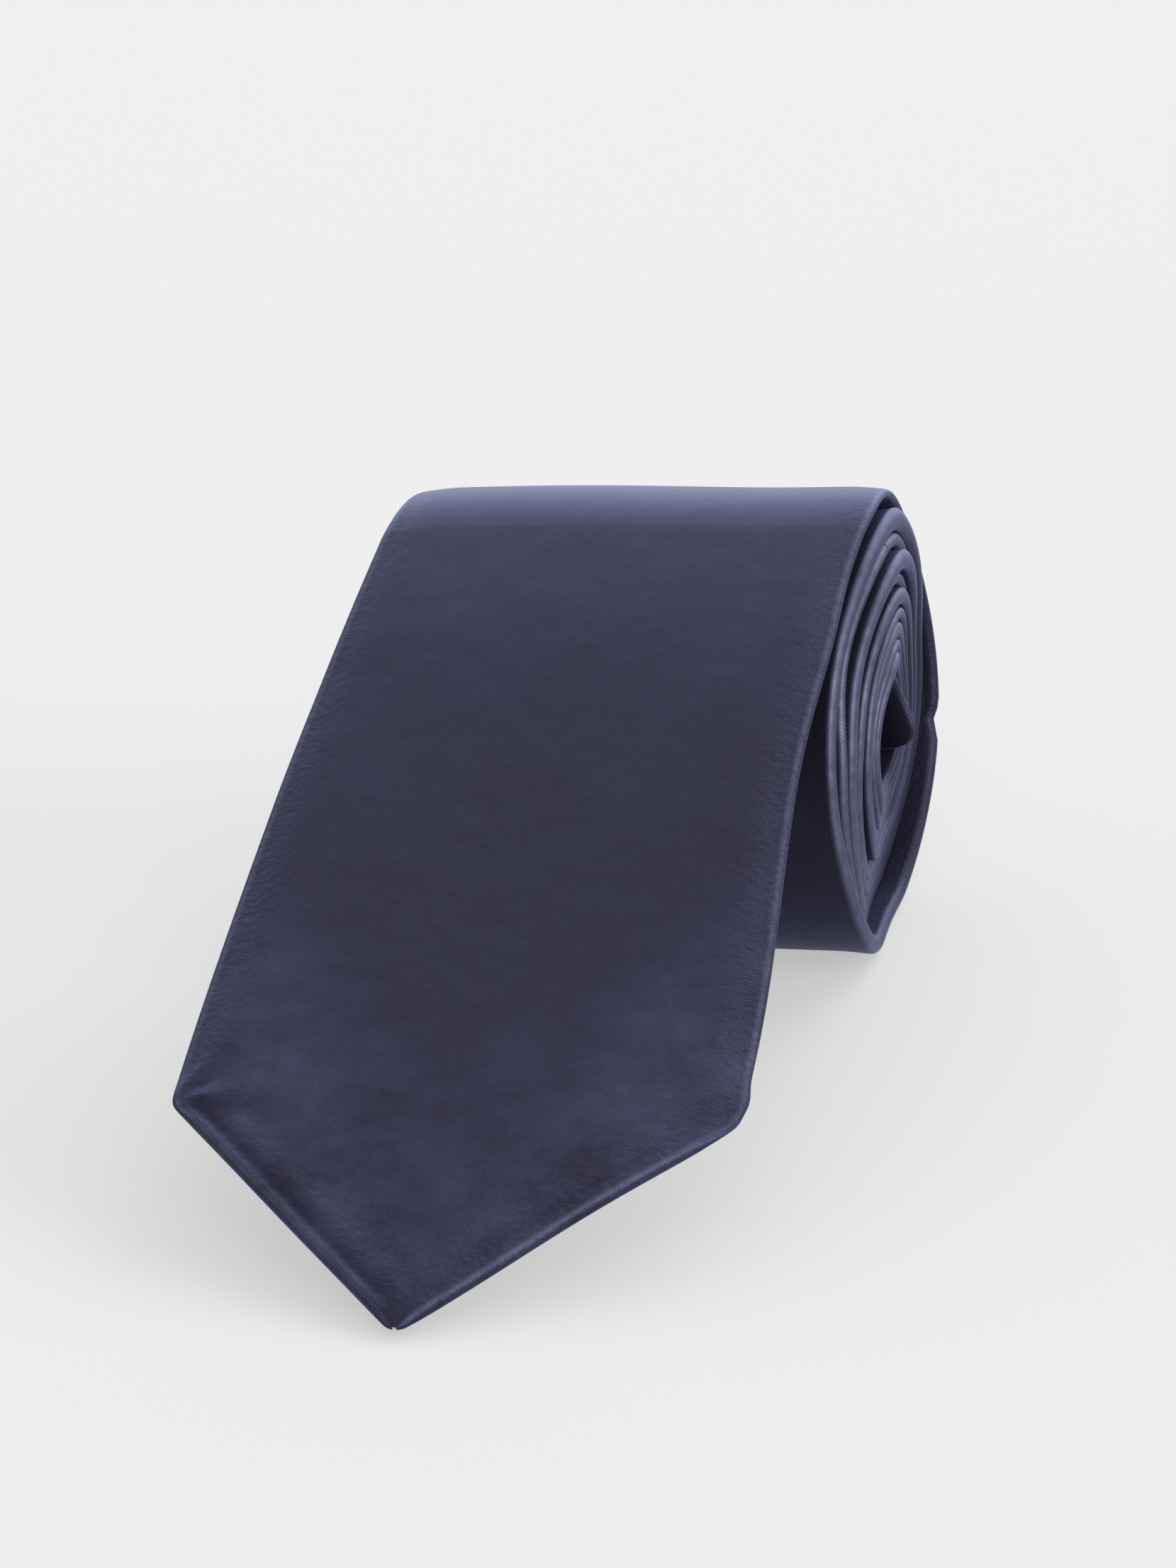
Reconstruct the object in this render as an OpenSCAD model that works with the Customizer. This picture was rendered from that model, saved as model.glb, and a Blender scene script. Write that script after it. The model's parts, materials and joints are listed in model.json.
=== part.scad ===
// Silk necktie, rolled up from its narrow end, with its wide blade falling to the table.
// X runs along the roll's axis, the blade falls towards -Y, and +Z is up.
// Every cloth piece is a ribbon swept along one centre line. Arc length along that line
// is counted from the point of the blade, so a width or a seam has its flat-tie position.

/* [Blade] */
// Width across the blade's corners
blade_w = 80; // [76:1:84]
// Length of the blade's point
blade_point = 40; // [36:1:42]
// Loss of width for each millimetre of length
taper = 0.06; // [0.055:0.001:0.065]
// Length from the point to the place where the blade leaves the roll
fall_len = 160; // [155:1:165]
// Sideways shift of the blade's point
point_shift = 2.2; // [0:0.1:4]

/* [Neck and tail] */
// Narrowest width, round the neck
neck_w = 34; // [32:1:38]
// Width across the tail's corners
tail_w = 45; // [40:1:48]
// Length of the tail's point
tail_point = 22; // [18:1:24]
// Distance from the blade's point to the seam between blade and neck
blade_seam_at = 560; // [500:10:640]
// Distance from the blade's point to the seam between neck and tail
tail_seam_at = 930; // [880:10:1000]
// Distance from the blade's point to the place where the tail starts to widen
tail_widens_at = 1000; // [960:10:1100]
// Distance from the blade's point to the place where the tail's shell enters the core
core_at = 1200; // [1150:10:1300]

/* [Roll] */
// Radius of the outer wrap, at the middle of its thickness
roll_r = 35; // [34.5:0.1:35.5]
// Radius lost over the first turn
pitch = 3.2; // [3.15:0.01:3.25]
// How much less radius each further turn loses, as the tie gets narrower and thinner
pitch_fall = 0.13; // [0.12:0.005:0.135]
// Number of turns from the place where the blade leaves the roll
turns = 10.7; // [10:0.1:10.8]
// Angle round the roll where the blade leaves it, from the front
leave_angle = 73; // [70:1:76]
// Extra slack between the outer wrap and the next one
slack = 0.7; // [0.5:0.1:0.8]
// Right edge of the outer wrap
edge_x = 36.4; // [36:0.1:37]
// How far the inner wraps' right edges lie inside the outer wrap's
recess = 1.3; // [1:0.1:3]
// Sideways tilt of the inner wraps: their right edges stand further out at the front
core_tilt = 0.05; // [0:0.01:0.1]
// Sideways lean of the inner wraps: their right edges stand further out at the top
core_lean = 0.1; // [0:0.01:0.12]
// Loss of height towards the roll's left end, as a share over the blade's width
sag = 0.05; // [0:0.01:0.06]

/* [Layers] */
// Thickness of the whole tie at the blade
tie_t = 2.5; // [2.2:0.05:2.55]
// Thickness of the whole tie at the tail
tail_t = 1.4; // [1.3:0.05:1.45]
// Thickness of the shell cloth
shell_t = 0.35; // [0.3:0.05:0.35]
// Gap between the two back flaps, where the slip stitch runs
seam_gap = 1; // [0.8:0.1:1.4]
// Distance from the point to the bar tack, where the back flaps meet
tack_at = 126; // [120:1:130]

/* [Hidden] */

// Colours of the cloths and threads
navy = "midnightblue";
lining = "darkslateblue";
wool = "ivory";
thread = "slategray";

// Rest of the roll's shape
turn_step = 10;             // degrees between stations, so that every wrap has the same ones
fall_steps = 32;            // stations along the falling blade
bottom_flat = 0.955;        // height of the flat bottom, as a share of the radius
core_oval = 0.05;           // how much taller than deep the roll's core is
core_drop = 0.1;            // fall of the wraps' centre with each turn
core_back = 0.08;           // backward shift of the wraps' centre with each turn
fall_bend = 3.2;            // how late the blade turns down to its steady slope
tip_clearance = 0.1;        // gap between the blade's point and the surface
joint_gap = 0.4;            // slot between the falling and the rolled part
half_t = tie_t / 2;
cloth_gap = 0.3;            // gap between two lengths of shell, where a seam runs
end_w = 1.2;                // width left at the very tip of a point

// Levels through the tie's thickness: side (1 front, -1 back), and depth below that side
front = [1, 0];
back = [-1, 0];
front_inner = [1, shell_t];
back_inner = [-1, shell_t];
lining_low = [-1, shell_t + 0.05];
lining_high = [-1, shell_t + 0.2];
wool_low = [-1, shell_t + 0.25];
wool_high = [1, shell_t + 0.1];
wool_inset = shell_t + 0.15;

// Hems, and where the linings, stitches, loop and label lie along the tie
hem_w = 9;                  // width of the turned hem at the blade's corners
tail_hem_w = 6;             // width of the turned hem at the tail's corners
lining_start = 3;           // distance of a lining from its point
blade_lining_len = 122;
tail_lining_len = 64;
tail_tack_from_end = 76;    // distance of the tail's bar tack from the tail's end
wool_joint_at = 700;        // where the two lengths of interlining meet
keeper_at = 180;            // start of the keeper loop
keeper_l = 11;
keeper_span = 46;
label_at = 196;
label_l = 24;
label_span = 28;
thread_w = 0.5;
tack_w = 0.9;
tack_span = 8;

function smooth(x, a, b) = let (t = min(max((x - a) / (b - a), 0), 1)) t * t * (3 - 2 * t);

// Centre line of the roll at u turns from the place where the blade leaves it: [y, z]
function wrap_r(u) = roll_r - pitch * u + pitch_fall * u * u / 2 - slack * smooth(u, 0.1, 0.6);
function oval(u) = core_oval * pow(u / turns, 2);
function wrap_h(u) = wrap_r(u) * (1 + oval(u));
function flat_z(a) = let (lowest = 270 + 360 * floor((a - 90) / 360))
    -bottom_flat * wrap_h((lowest - leave_angle) / 360);
axis_z = half_t - flat_z(leave_angle + 90);
function roll_point(u) = let (a = leave_angle + 360 * u)
    [core_back * u - wrap_r(u) * (1 - oval(u)) * cos(a),
     axis_z - core_drop * max(u - 0.65, 0) + max(wrap_h(u) * sin(a), flat_z(max(a, 90)))];

// Centre line of the falling blade, from the roll (first) to its point (last): [y, z]
leave_slope = 90 - leave_angle;
fall_ds = fall_len / fall_steps;
function slope_at(s, slope) = slope + (leave_slope - slope) * pow(s / fall_len, fall_bend);
function fall_points(slope) = [for (i = 0, p = roll_point(0); i <= fall_steps;
    a = slope_at(fall_len - (i + 0.5) * fall_ds, slope),
    p = p - fall_ds * [cos(a), sin(a)], i = i + 1) p];

// Slope of the blade near its point, corrected until the point's underside meets the surface
function tip_height(slope) =
    fall_points(slope)[fall_steps][1] - half_t * cos(slope) - tip_clearance;
function settled(slope, rounds) = rounds == 0 ? slope
    : settled(slope + tip_height(slope) / (fall_len * cos(slope)) * 180 / PI, rounds - 1);
fall_slope = settled(26, 8);
fall_line = fall_points(fall_slope);

// Whole centre line: stations [y, z, s], from the blade's point to the tail's end
fall_end = fall_len - joint_gap;
fall_last = roll_point(0) - joint_gap * [cos(leave_slope), sin(leave_slope)];
turn_count = floor(turns * 360 / turn_step);
roll_line = [for (i = [0:turn_count]) roll_point(i * turn_step / 360)];
roll_s = [for (i = 0, s = fall_len; i <= turn_count;
    s = s + (i < turn_count ? norm(roll_line[i + 1] - roll_line[i]) : 0), i = i + 1) s];
tie_len = roll_s[turn_count];
line = concat(
    [for (i = [fall_steps:-1:1]) [fall_line[i][0], fall_line[i][1], fall_len - i * fall_ds]],
    [[fall_last[0], fall_last[1], fall_end]],
    [for (i = [0:turn_count]) [roll_line[i][0], roll_line[i][1], roll_s[i]]]);
last = len(line) - 1;
distances = [for (p = line) p[2]];
depths = [for (p = line) [p[2], p[0]]];
heights = [for (p = line) [p[2], p[1] - axis_z]];
tangents = [for (i = [0:last]) let (a = line[max(i - 1, 0)], b = line[min(i + 1, last)],
    d = [b[0] - a[0], b[1] - a[1]]) d / norm(d)];
function across(i, n) = [line[i][0] - tangents[i][1] * n, line[i][1] + tangents[i][0] * n];

// Half the tie's thickness, and a level's height above the centre line, at distance s
function half_at(s) = (tie_t + (tail_t - tie_t) * smooth(s, fall_len, tie_len)) / 2;
function height(s, level) = level[0] * (half_at(s) - level[1]);

// Widths and edges of the tie at distance s from the blade's point
function width_at(s) =
    s < blade_point ? max(blade_w * s / blade_point, end_w)
    : s > tie_len - tail_point ? max(tail_w * (tie_len - s) / tail_point, end_w)
    : max(blade_w - taper * (s - blade_point), neck_w,
          neck_w + (tail_w - neck_w)
              * (s - tail_widens_at) / (tie_len - tail_point - tail_widens_at));
leave_w = width_at(fall_len);
function wrap_edge(s) = let (inner = smooth(s, fall_len + 150, fall_len + 260))
    edge_x - inner * (recess + core_tilt * lookup(s, depths) - core_lean * lookup(s, heights));
function centre_x(s) = s < fall_len
    ? edge_x - leave_w / 2 + point_shift * (1 - s / fall_len)
    : wrap_edge(s) - width_at(min(s, tie_len - tail_point)) / 2;
function left_x(s) = centre_x(s) - width_at(s) / 2;
function right_x(s) = centre_x(s) + width_at(s) / 2;

// Width of each back flap: it reaches the centre seam, and narrows to a hem near the points
function flap_w(s) = let (
        half = width_at(s) / 2,
        blade_end = s < tie_len / 2,
        hem = blade_end ? hem_w : tail_hem_w,
        open_len = blade_end ? tack_at - blade_point : tail_tack_from_end - tail_point,
        from_corner = blade_end ? s - blade_point : tie_len - tail_point - s,
        flap = hem + (half - hem) * smooth(from_corner, 0, open_len))
    max(min(flap, half) - seam_gap / 2, min(shell_t, width_at(s) / 3));

// The frame's origin: the middle of the whole tie's box, on the surface it stands on
outer_y = [for (i = [0:fall_steps + 37]) each [across(i, half_t)[0], across(i, -half_t)[0]]];
mid_y = (min(outer_y) + max(outer_y)) / 2;
mid_x = centre_x(blade_point);

// A point of the tie: x across, at a level of its thickness, at distance s
function seat(x, p) = [x - mid_x, p[0] - mid_y, p[1] * (1 - sag * (edge_x - x) / blade_w)];
function spot(s) = min(max([for (i = [0:last]) if (distances[i] <= s + 0.0001) i]), last - 1);
function on_tie(s, x, level) = let (
        i = spot(s),
        t = (s - distances[i]) / (distances[i + 1] - distances[i]),
        n = height(s, level))
    seat(x, across(i, n) * (1 - t) + across(i + 1, n) * t);

// Distances of the rings of a piece that reaches from one distance to another
function rings_between(from, to) = concat([from],
    [for (s = distances) if (s > from + 0.01 && s < to - 0.01) s], [to]);

// Solid swept through rings of points. Each ring is an outer row, then an inner row back.
module sweep(rings) {
    m = len(rings[0]);
    n = len(rings);
    sides = [for (r = [0:n - 2], k = [0:m - 1]) let (
            a = r * m + k, b = r * m + (k + 1) % m, c = a + m, d = b + m)
        each [[a, b, c], [b, d, c]]];
    first = [for (k = [0:m / 2 - 2]) each [[k, m - 1 - k, k + 1], [k + 1, m - 1 - k, m - 2 - k]]];
    final = [for (f = first) [for (k = [2, 1, 0]) f[k] + (n - 1) * m]];
    polyhedron(points = [for (r = rings) each r], faces = concat(sides, first, final));
}

// Folded shell cloth: a front, two turned edges and two back flaps, all one sheet
module shell(from, to) sweep([for (s = rings_between(from, to)) let (
        l = left_x(s), r = right_x(s), f = flap_w(s), w = min(shell_t, width_at(s) / 4))
    [for (p = [[l + f, back], [l, back], [l, front], [r, front], [r, back], [r - f, back],
               [r - f, back_inner], [r - w, back_inner], [r - w, front_inner],
               [l + w, front_inner], [l + w, back_inner], [l + f, back_inner]])
        on_tie(s, p[0], p[1])]]);

// Flat layer that fills the shell from edge to edge
module layer(from, to, low, high) sweep([for (s = rings_between(from, to)) let (
        l = left_x(s) + wool_inset, r = right_x(s) - wool_inset)
    [on_tie(s, l, low), on_tie(s, l, high), on_tie(s, r, high), on_tie(s, r, low)]]);

// Flat strip centred on the tie
module strip(from, to, span, low, high) sweep([for (s = rings_between(from, to)) let (
        c = centre_x(s), h = span / 2)
    [on_tie(s, c - h, low), on_tie(s, c - h, high), on_tie(s, c + h, high), on_tie(s, c + h, low)]]);

// Thread laid along a path of [s, x] points
module thread_line(path, w, low, high) sweep([for (i = [0:len(path) - 1]) let (
        d = path[min(i + 1, len(path) - 1)] - path[max(i - 1, 0)],
        side = [d[1], -d[0]] / norm(d) * w / 2,
        a = path[i] + side, b = path[i] - side)
    [on_tie(a[0], a[1], low), on_tie(a[0], a[1], high),
     on_tie(b[0], b[1], high), on_tie(b[0], b[1], low)]]);

// Bar tack across the centre seam
module bar_tack(s) thread_line([for (x = [-0.5, 0.5]) [s, centre_x(s) + x * tack_span]],
    tack_w, [-1, -0.2], [-1, -0.02]);

// Stitches along both inner edges of a hem, between two distances from the blade's point
module hem_stitch(from, to) for (side = [-1, 1])
    thread_line([for (i = [0:8]) let (s = from + (to - from) * i / 8)
        [s, centre_x(s) + side * (width_at(s) / 2 - flap_w(s) - thread_w)]],
        thread_w * 0.6, [-1, 0.1], [-1, shell_t]);

// Seam across the front, in the gap between two lengths of shell
module cross_seam(s) thread_line(
    [[s, left_x(s) + wool_inset], [s, right_x(s) - wool_inset]],
    cloth_gap * 0.6, [1, shell_t + 0.06], [1, 0.08]);

// Slip stitch along the gap between the back flaps
module slip_stitch(from, to) thread_line(
    [for (s = rings_between(from, to)) [s, centre_x(s)]], thread_w, [-1, 0.08], [-1, shell_t]);

// The blade, which falls from the top of the roll
module blade_shell_fall() color(navy) shell(0, fall_end);
module interlining_fall() color(wool) layer(lining_start, fall_end, wool_low, wool_high);
module blade_tipping() color(lining)
    layer(lining_start, lining_start + blade_lining_len, lining_low, lining_high);
module blade_hem_stitch() color(thread) hem_stitch(hem_w + 3, tack_at - 26);
module blade_bar_tack() color(thread) bar_tack(tack_at + 2);
module slip_stitch_fall() color(thread) slip_stitch(tack_at + 4, fall_end);

// The rolled length, from the outer wrap to the core
module blade_shell_rolled() color(navy) shell(fall_len, blade_seam_at - cloth_gap / 2);
module neck_shell() color(navy)
    shell(blade_seam_at + cloth_gap / 2, tail_seam_at - cloth_gap / 2);
module tail_shell() color(navy) shell(tail_seam_at + cloth_gap / 2, core_at);
module tail_shell_core() color(navy) shell(core_at, tie_len);
module interlining_rolled() color(wool) layer(fall_len, wool_joint_at, wool_low, wool_high);
module interlining_tail() color(wool)
    layer(wool_joint_at + cloth_gap, tie_len - lining_start, wool_low, wool_high);
module blade_neck_seam() color(thread) cross_seam(blade_seam_at);
module neck_tail_seam() color(thread) cross_seam(tail_seam_at);
module slip_stitch_rolled() color(thread) slip_stitch(fall_len, tie_len - tail_tack_from_end - 2);
module tail_tipping() color(lining)
    layer(tie_len - tail_lining_len, tie_len - lining_start, lining_low, lining_high);
module tail_hem_stitch() color(thread)
    hem_stitch(tie_len - tail_tack_from_end + 30, tie_len - tail_hem_w);
module tail_bar_tack() color(thread) bar_tack(tie_len - tail_tack_from_end);

// Spare thread of the slip stitch, left as a loop beyond the tail's bar tack
module stitch_reserve_loop() color(thread) let (s = tie_len - tail_tack_from_end + 24, r = 1.5)
    thread_line([for (a = [0:20:180]) [s + 8 * sin(a), centre_x(s) + r * cos(a)]],
        thread_w * 0.6, [-1, 0.12], [-1, shell_t - 0.05]);

// Loop across the back of the blade that holds the tail, its end stitches and the label
module keeper_loop() color(navy) strip(keeper_at, keeper_at + keeper_l, keeper_span,
    [-1, -0.7], [-1, -0.2]);
module keeper_tacks() color(thread) for (side = [-1, 1])
    let (x = centre_x(keeper_at) + side * (keeper_span / 2 - 1.5))
    thread_line([for (s = rings_between(keeper_at + 1, keeper_at + keeper_l - 1)) [s, x]],
        tack_w, [-1, -0.16], [-1, -0.05]);
module care_label() color("whitesmoke") strip(label_at, label_at + label_l, label_span,
    [-1, -0.25], [-1, -0.1]);

blade_shell_fall();
blade_shell_rolled();
neck_shell();
tail_shell();
tail_shell_core();
interlining_fall();
interlining_rolled();
interlining_tail();
blade_tipping();
tail_tipping();
blade_neck_seam();
neck_tail_seam();
slip_stitch_fall();
slip_stitch_rolled();
stitch_reserve_loop();
blade_bar_tack();
tail_bar_tack();
blade_hem_stitch();
tail_hem_stitch();
keeper_loop();
keeper_tacks();
care_label();
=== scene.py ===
"""A navy satin necktie, rolled up from its narrow end, with its wide blade falling to the table.

Every cloth is a ribbon along one centre line, as in the CAD model. A point of the tie is given
by s, its distance in millimetres from the blade's point, by x, its place across the tie, and
by n, its height above the middle of the tie's thickness, positive on the front.
"""

import json
import math

import bpy
import numpy as np
from mathutils import Matrix, Vector


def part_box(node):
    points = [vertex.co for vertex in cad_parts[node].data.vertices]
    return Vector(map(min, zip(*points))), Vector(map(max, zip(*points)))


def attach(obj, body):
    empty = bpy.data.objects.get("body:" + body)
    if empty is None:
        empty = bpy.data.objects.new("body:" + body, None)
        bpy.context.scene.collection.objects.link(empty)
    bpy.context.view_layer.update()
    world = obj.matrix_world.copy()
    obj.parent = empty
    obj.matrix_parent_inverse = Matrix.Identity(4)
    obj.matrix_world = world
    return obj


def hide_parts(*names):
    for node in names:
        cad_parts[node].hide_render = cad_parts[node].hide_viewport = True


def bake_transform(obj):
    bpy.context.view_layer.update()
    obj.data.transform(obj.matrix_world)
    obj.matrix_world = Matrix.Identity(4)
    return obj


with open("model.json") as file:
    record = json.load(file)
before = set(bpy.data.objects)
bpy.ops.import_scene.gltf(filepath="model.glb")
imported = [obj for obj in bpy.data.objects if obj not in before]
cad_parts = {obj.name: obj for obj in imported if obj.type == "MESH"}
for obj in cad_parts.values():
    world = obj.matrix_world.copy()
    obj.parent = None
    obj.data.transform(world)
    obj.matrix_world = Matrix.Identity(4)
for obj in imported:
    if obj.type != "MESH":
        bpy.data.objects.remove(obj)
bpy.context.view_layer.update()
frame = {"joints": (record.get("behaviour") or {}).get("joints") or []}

MM = 0.001

# Driving sizes of the tie, in millimetres and degrees. They are the CAD model's, but for the
# linings: there LINING_START is 3 and BLADE_LINING_LEN 122, which end at the same place
BLADE_W, BLADE_POINT, TAPER, POINT_SHIFT = 80.0, 40.0, 0.06, 2.2
FALL_LEN, LEAVE_ANGLE, FALL_BEND, TIP_CLEARANCE = 160.0, 73.0, 3.2, 0.1
NECK_W, TAIL_W, TAIL_POINT = 34.0, 45.0, 22.0
BLADE_SEAM_AT, TAIL_SEAM_AT, TAIL_WIDENS_AT, WOOL_JOINT_AT = 560.0, 930.0, 1000.0, 700.0
ROLL_R, PITCH, PITCH_FALL, TURNS, SLACK = 35.0, 3.2, 0.13, 10.7, 0.7
BOTTOM_FLAT, CORE_OVAL, CORE_DROP, CORE_BACK = 0.955, 0.05, 0.1, 0.08
EDGE_X, RECESS, CORE_TILT, CORE_LEAN, SAG = 36.4, 1.3, 0.05, 0.1, 0.05
TIE_T, TAIL_T, SHELL_T, CLOTH_GAP = 2.5, 1.4, 0.35, 0.3
HEM_W, TAIL_HEM_W, TACK_AT, TAIL_TACK_FROM_END = 9.0, 6.0, 126.0, 76.0
LINING_START, BLADE_LINING_LEN, TAIL_LINING_LEN = 8.0, 117.0, 64.0
KEEPER_AT, KEEPER_L, KEEPER_SPAN = 180.0, 11.0, 46.0
LABEL_AT, LABEL_L, LABEL_SPAN = 196.0, 24.0, 28.0

# Finish of the cloth that the CAD model leaves out
SEAM_GAP = 0.2              # gap between the back flaps, which the CAD model has wider
POINT_ROUND = 2.6           # radius of the blade's rounded point
CORNER_ROUND = 1.2          # softness of the blade's corners
BEND_ZONE = 24.0            # length of blade at the bend where it leaves the roll; nothing here bends it
BEND_START = FALL_LEN + 1   # where that length ends, and where the cloths are split in two
EDGE_WAVE = 0.9             # sideways wave of the wraps' right edges, three to a turn
EDGE_WAVE_CREST = 77.0      # angle round the roll of one crest of that wave
FRONT_OUT = 0.45            # how far the right edges stand out at the roll's front
FOOT_LIFT = 0.4             # how far the roll's underside is pressed up, to lie on the table
RIGHT_SAG = 0.011           # share of its height by which the roll is lower at its right end
TOP_SPREAD = 1.7            # how much less the wraps are tilted near their tops
CORE_OUT = 1.0              # how far the inner wraps stand out past the CAD model's
ARCH_IN = 1.2               # how far the first inner wraps sit in under the outer wrap's top
NICK_TURN, NICK_DEPTH = 0.347, 0.8      # a small fold in the outer wrap's edge at the back
WRAP_STEP = 0.55            # how far every second wrap stands out past its neighbours
INNER_WAVE = 0.3            # a slower sideways wave that only the inner wraps have
RECESS_FROM, RECESS_TO = 150.0, 260.0   # where the wraps move in, by cloth past FALL_LEN
TOP_ZONE, ARCH_ZONE = (2, 24), (5, 28)  # heights above the roll's axis where its top sets in
RIGHT_SAG_W, FOOT_ZONE = 25.0, 6.0      # how far those two reach, sideways and upwards
HEM_GROOVE, HEM_RIDGE = 0.34, 0.2       # depth of the hem's groove and height of its ridge
HEM_RIGHT_LESS = 0.7        # share by which the hem is flatter on the point's right side
SLOW_DRAPE, LONG_FOLD, SIDE_CURL = 0.45, 0.35, 0.5      # heights of the falling blade's drape
CORNER_CREASE = 0.22        # height of the creases at the blade's left corner
SWELL_TWO, SWELL_THREE = 0.22, 0.14     # unevenness of the roll, two and three to a turn
PUFF_W, FALL_PUFF, TOP_PUFF = 3.5, -0.3, -0.45          # width and shares of the edges' puff
WRAP_PUFF, WRAP_PUFF_STEP = 0.25, 0.22  # puff of the wraps, and how much it goes up and down
CURL_FROM_END, CURL_LEN, CURL_ZONE = 19.0, 6.0, (8, 20)  # where the tail's corner curls out
CURL_IN, CURL_OUT, CURL_HANG = 3.0, 4.5, 3.5            # and how far it goes each way
# Sideways shifts of the blade's right side: how far, how far from the point, over what length
SIDE_BOWS = ((-0.9, 112, 24), (0.9, 58, 24), (0.5, 44.5, 2.5), (-0.8, 150, 13))


# ---------------------------------------------------------------- the centre line

def smooth(x, a, b):
    t = np.clip((np.asarray(x, float) - a) / (b - a), 0, 1)
    return t * t * (3 - 2 * t)


def bump(x, centre, width):
    return np.exp(-((np.asarray(x, float) - centre) / width) ** 2)


def soft_max(a, b, k):
    return (a + b + np.sqrt((a - b) ** 2 + k * k)) / 2


def wrap_radius(u):
    return ROLL_R - PITCH * u + PITCH_FALL * u * u / 2 - SLACK * smooth(u, 0.1, 0.6)


def oval(u):
    return CORE_OVAL * (u / TURNS) ** 2


def wrap_height(u):
    return wrap_radius(u) * (1 + oval(u))


def flat_height(angle):
    lowest = 270 + 360 * np.floor((angle - 90) / 360)
    return -BOTTOM_FLAT * wrap_height((lowest - LEAVE_ANGLE) / 360)


AXIS_Z = TIE_T / 2 - flat_height(LEAVE_ANGLE + 90)


def roll_point(u):
    """Centre line of the roll at u turns from the place where the blade leaves it: y and z."""
    angle = LEAVE_ANGLE + 360 * u
    y = CORE_BACK * u - wrap_radius(u) * (1 - oval(u)) * np.cos(np.radians(angle))
    round_z = wrap_height(u) * np.sin(np.radians(angle))
    z = soft_max(round_z, flat_height(np.maximum(angle, 90)), 0.6)
    return y, AXIS_Z - CORE_DROP * np.maximum(u - 0.65, 0) + z


def fall_line(slope, steps=320):
    """Centre line of the falling blade, from the roll to its point: s, y and z."""
    s = np.linspace(FALL_LEN, 0, steps + 1)
    middle = (s[1:] + s[:-1]) / 2
    leave_slope = 90 - LEAVE_ANGLE
    angle = np.radians(slope + (leave_slope - slope) * (middle / FALL_LEN) ** FALL_BEND)
    step = FALL_LEN / steps
    y0, z0 = roll_point(0.0)
    y = y0 - np.concatenate([[0], np.cumsum(np.cos(angle) * step)])
    z = z0 - np.concatenate([[0], np.cumsum(np.sin(angle) * step)])
    return s, y, z


def settled_slope(slope=26.0, rounds=10):
    """Slope of the blade near its point, corrected until its underside meets the surface."""
    for _ in range(rounds):
        z = fall_line(slope)[2]
        fall = math.cos(math.radians(slope))
        low = z[-1] - TIE_T / 2 * fall - TIP_CLEARANCE
        slope += math.degrees(low / (FALL_LEN * fall))
    return slope


class CentreLine:
    """The tie's centre line from the blade's point to the tail's end, read by distance s."""

    def __init__(self):
        s, y, z = fall_line(settled_slope())
        turn = np.linspace(0, TURNS, int(TURNS * 240) + 1)
        roll_y, roll_z = roll_point(turn)
        steps = np.hypot(np.diff(roll_y), np.diff(roll_z))
        self.s = np.concatenate([s[::-1], FALL_LEN + np.cumsum(steps)])
        self.y = np.concatenate([y[::-1], roll_y[1:]])
        self.z = np.concatenate([z[::-1], roll_z[1:]])
        self.turn = np.concatenate([0 * s, turn[1:]])
        self.length = self.s[-1]
        slope_y, slope_z = np.gradient(self.y, self.s), np.gradient(self.z, self.s)
        size = np.hypot(slope_y, slope_z)
        self.ty, self.tz = slope_y / size, slope_z / size

    def read(self, s, values):
        return np.interp(s, self.s, values)

    def turn_at(self, s):
        return self.read(s, self.turn)


line = CentreLine()
TIE_LEN = line.length


# ---------------------------------------------------------------- widths and thickness

def straight_width(s):
    """Width of the tie at distance s, as if it had no points."""
    tail_share = (s - TAIL_WIDENS_AT) / (TIE_LEN - TAIL_POINT - TAIL_WIDENS_AT)
    blade = np.maximum(BLADE_W - TAPER * (s - BLADE_POINT), NECK_W)
    return np.minimum(np.maximum(blade, NECK_W + (TAIL_W - NECK_W) * tail_share),
                      np.where(s > TIE_LEN / 2, TAIL_W, BLADE_W + 5))


def half_width(s):
    """Half the width at distance s, with the blade's and the tail's points."""
    s = np.asarray(s, float)
    side = straight_width(s) / 2
    apex = np.maximum(POINT_ROUND ** 2 - (POINT_ROUND * math.sqrt(2) - s) ** 2, 0) ** 0.5
    blade = np.where(s < POINT_ROUND / math.sqrt(2), apex, s)
    tail = (TIE_LEN - s) * TAIL_W / 2 / TAIL_POINT + 0.6
    return -soft_max(-side, -np.minimum(blade, tail), CORNER_ROUND)


def wave(s):
    """Sideways wave of the right edge of the wraps."""
    turn = line.turn_at(s)
    angle = LEAVE_ANGLE + 360 * turn
    three = EDGE_WAVE * np.cos(np.radians(3 * (angle - EDGE_WAVE_CREST)))
    three = three + FRONT_OUT * np.cos(np.radians(angle))
    every_second = WRAP_STEP * np.cos(math.pi * (turn - 1.25)) * smooth(turn, 0.7, 1.3)
    inner = INNER_WAVE * np.sin(2.3 * turn + 1) * smooth(turn, 1, 2)
    core = 1 - 0.55 * smooth(turn, 1.2, 5)
    return (three + every_second) * core + inner


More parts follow.
